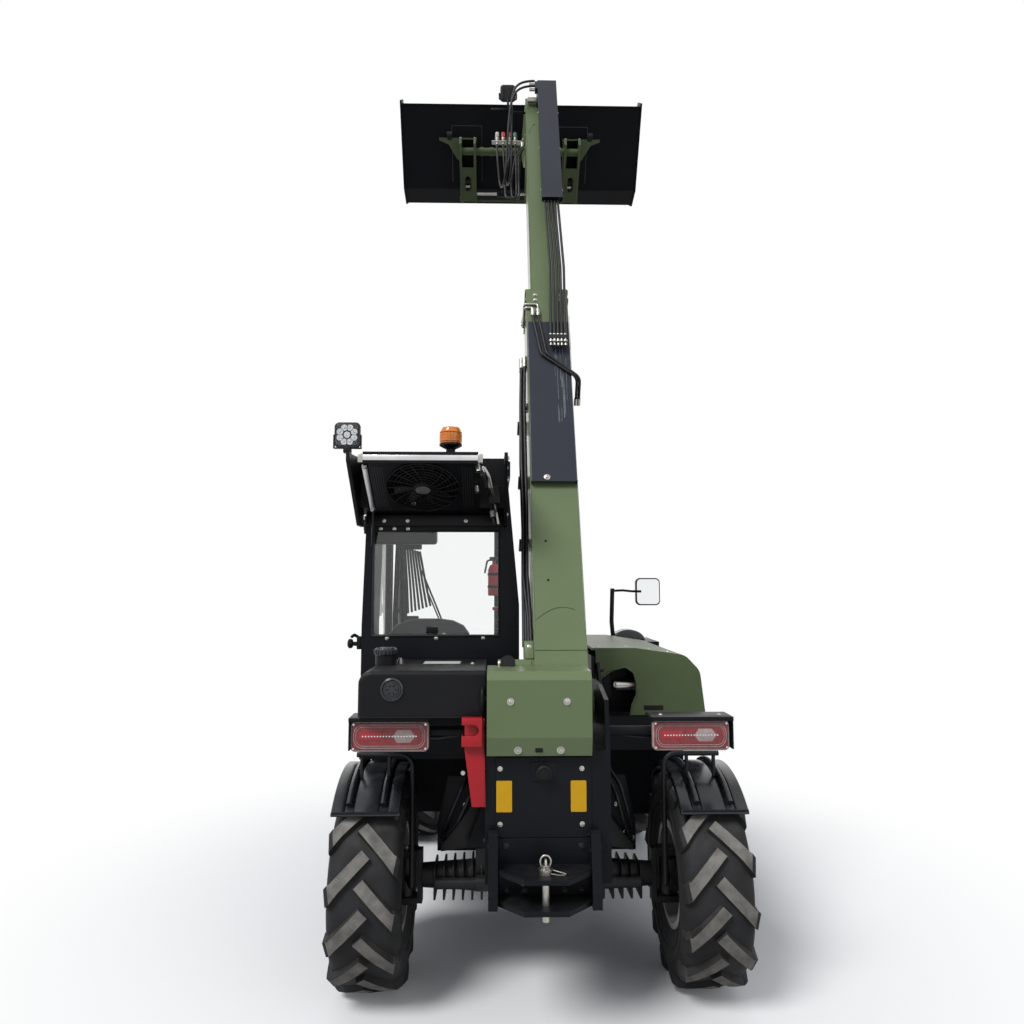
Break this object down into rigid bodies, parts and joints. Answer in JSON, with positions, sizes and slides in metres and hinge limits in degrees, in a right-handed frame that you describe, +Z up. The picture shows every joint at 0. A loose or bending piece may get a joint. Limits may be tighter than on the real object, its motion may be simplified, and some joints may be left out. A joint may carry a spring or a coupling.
{
  "type": "telehandler",
  "caption": "Compact telehandler with a raised telescopic boom and bucket, side cab, engine hood, four steered wheels and a rear drawbar.",
  "frame": {"origin": "on the floor under the middle of the whole machine's box", "axes": "+Y forward, +X to the machine's right, +Z up"},
  "size_m": [2, 3.9468, 5.9554],
  "materials": {
    "tyre": "ribbed rubber",
    "rim_paint": "semi-gloss paint",
    "axle_paint": "semi-gloss paint",
    "black_plastic": "moulded",
    "hose_rubber": "smooth",
    "green_paint": "gloss paint",
    "black_paint": "satin paint",
    "zinc": "zinc plated",
    "red_paint": "gloss paint",
    "red_lens": "clear coloured",
    "amber_lens": "clear coloured",
    "glass": "clear",
    "cast_iron": "as cast",
    "chrome": "polished"
  },
  "bodies": {
    "chassis": {"chassis_frame": "black_paint", "rear_cover": "green_paint", "rear_panel": "black_paint", "drawbar": "black_paint", "hitch_pin": "zinc", "safety_strut": "red_paint", "lamp_bar": "black_paint", "tail_lamps": "red_lens", "fluid_tank": "black_plastic", "rear_axle": "axle_paint", "front_axle": "axle_paint", "cab_frame": "black_paint", "cab_tub": "black_paint", "cab_roof": "black_plastic", "cab_glass": "glass", "seat": "black_plastic", "steering_column": "black_plastic", "dashboard": "black_plastic", "condenser_unit": "black_plastic", "work_lamp": "black_plastic", "beacon": "amber_lens", "engine_block": "cast_iron", "engine_bay": "black_paint", "exhaust_pipe": "zinc", "mirror": "black_plastic"},
    "door": {"cab_door": "black_paint", "door_glass": "glass"},
    "hood": {"engine_hood": "green_paint"},
    "outer_boom": {"boom_outer": "green_paint", "boom_cover": "black_plastic", "boom_pipes": "zinc"},
    "inner_boom": {"boom_inner": "green_paint", "hose_guard": "black_plastic", "boom_lamp": "black_plastic", "boom_hoses": "hose_rubber", "hose_couplers": "hose_rubber", "head_hose_outer": "hose_rubber", "head_hose_inner": "hose_rubber", "tilt_cylinder": "black_paint"},
    "bucket_carrier": {"carriage": "green_paint", "bucket": "black_paint"},
    "tilt_rod_body": {"tilt_rod": "chrome"},
    "lift_barrel": {"lift_cylinder": "black_paint"},
    "lift_rod_body": {"lift_rod": "chrome"},
    "front_left_hub": {"front_left_knuckle": "axle_paint", "front_left_fender": "black_plastic"},
    "front_left_wheel": {"front_left_tyre": "tyre", "front_left_rim": "rim_paint"},
    "front_right_hub": {"front_right_knuckle": "axle_paint", "front_right_fender": "black_plastic"},
    "front_right_wheel": {"front_right_tyre": "tyre", "front_right_rim": "rim_paint"},
    "rear_left_hub": {"rear_left_knuckle": "axle_paint", "rear_left_fender": "black_plastic"},
    "rear_left_wheel": {"rear_left_tyre": "tyre", "rear_left_rim": "rim_paint"},
    "rear_right_hub": {"rear_right_knuckle": "axle_paint", "rear_right_fender": "black_plastic"},
    "rear_right_wheel": {"rear_right_tyre": "tyre", "rear_right_rim": "rim_paint"}
  },
  "joints": [
    {"name": "boom_lift", "type": "hinge", "parent": "chassis", "child": "outer_boom", "pos_m": [0.1, -1.39, 1.32], "axis": [1, 0, 0], "range_deg": [-72, 2]},
    {"name": "boom_extend", "type": "slide", "parent": "outer_boom", "child": "inner_boom", "axis": [0, 0.3907, 0.9205], "range_m": [-1.5, 0.1]},
    {"name": "bucket_tilt", "type": "hinge", "parent": "inner_boom", "child": "bucket_carrier", "pos_m": [0.1, 0.87891, 5.47258], "axis": [-1, 0, 0], "range_deg": [-70, 70]},
    {"name": "lift_cylinder_swing", "type": "hinge", "parent": "chassis", "child": "lift_barrel", "pos_m": [0.1, -1.26, 0.76], "axis": [1, 0, 0], "range_deg": [-53.63, 1.98]},
    {"name": "lift_rod_slide", "type": "slide", "parent": "lift_barrel", "child": "lift_rod_body", "axis": [0, 0.2539, 0.9672], "range_m": [-0.5587, 0.0175]},
    {"name": "tilt_rod_slide", "type": "slide", "parent": "inner_boom", "child": "tilt_rod_body", "axis": [0, 0.7971, 0.6039], "range_m": [-0.1615, 0.1615]},
    {"name": "door_swing", "type": "hinge", "parent": "chassis", "child": "door", "pos_m": [-0.936, -0.828, 1.7], "axis": [0, 0, 1], "range_deg": [0, 85]},
    {"name": "hood_lift", "type": "hinge", "parent": "chassis", "child": "hood", "pos_m": [0.302, -0.59, 1.55], "axis": [0, -1, 0], "range_deg": [0, 60]},
    {"name": "front_left_steer", "type": "hinge", "parent": "chassis", "child": "front_left_hub", "pos_m": [-0.64, 1.01, 0.49], "axis": [0, 0, 1], "range_deg": [-32, 32]},
    {"name": "front_left_spin", "type": "hinge", "parent": "front_left_hub", "child": "front_left_wheel", "pos_m": [-0.785, 1.01, 0.49], "axis": [1, 0, 0], "continuous": true},
    {"name": "front_right_steer", "type": "hinge", "parent": "chassis", "child": "front_right_hub", "pos_m": [0.64, 1.01, 0.49], "axis": [0, 0, 1], "range_deg": [-32.1, 32.1]},
    {"name": "front_right_spin", "type": "hinge", "parent": "front_right_hub", "child": "front_right_wheel", "pos_m": [0.785, 1.01, 0.49], "axis": [1, 0, 0], "continuous": true},
    {"name": "rear_left_steer", "type": "hinge", "parent": "chassis", "child": "rear_left_hub", "pos_m": [-0.64, -1.24, 0.49], "axis": [0, 0, -1], "range_deg": [-32, 32]},
    {"name": "rear_left_spin", "type": "hinge", "parent": "rear_left_hub", "child": "rear_left_wheel", "pos_m": [-0.785, -1.24, 0.49], "axis": [1, 0, 0], "continuous": true},
    {"name": "rear_right_steer", "type": "hinge", "parent": "chassis", "child": "rear_right_hub", "pos_m": [0.64, -1.24, 0.49], "axis": [0, 0, -1], "range_deg": [-32.1, 32.1]},
    {"name": "rear_right_spin", "type": "hinge", "parent": "rear_right_hub", "child": "rear_right_wheel", "pos_m": [0.785, -1.24, 0.49], "axis": [1, 0, 0], "continuous": true}
  ],
  "couplings": [
    {"joint": "lift_cylinder_swing", "follows": "boom_lift", "ratio": 0.73797},
    {"joint": "lift_rod_slide", "follows": "boom_lift", "m_per_rad": 0.44297},
    {"joint": "tilt_rod_slide", "follows": "bucket_tilt", "m_per_rad": 0.13052},
    {"joint": "front_right_steer", "follows": "front_left_steer", "ratio": 1},
    {"joint": "rear_right_steer", "follows": "rear_left_steer", "ratio": 1}
  ]
}
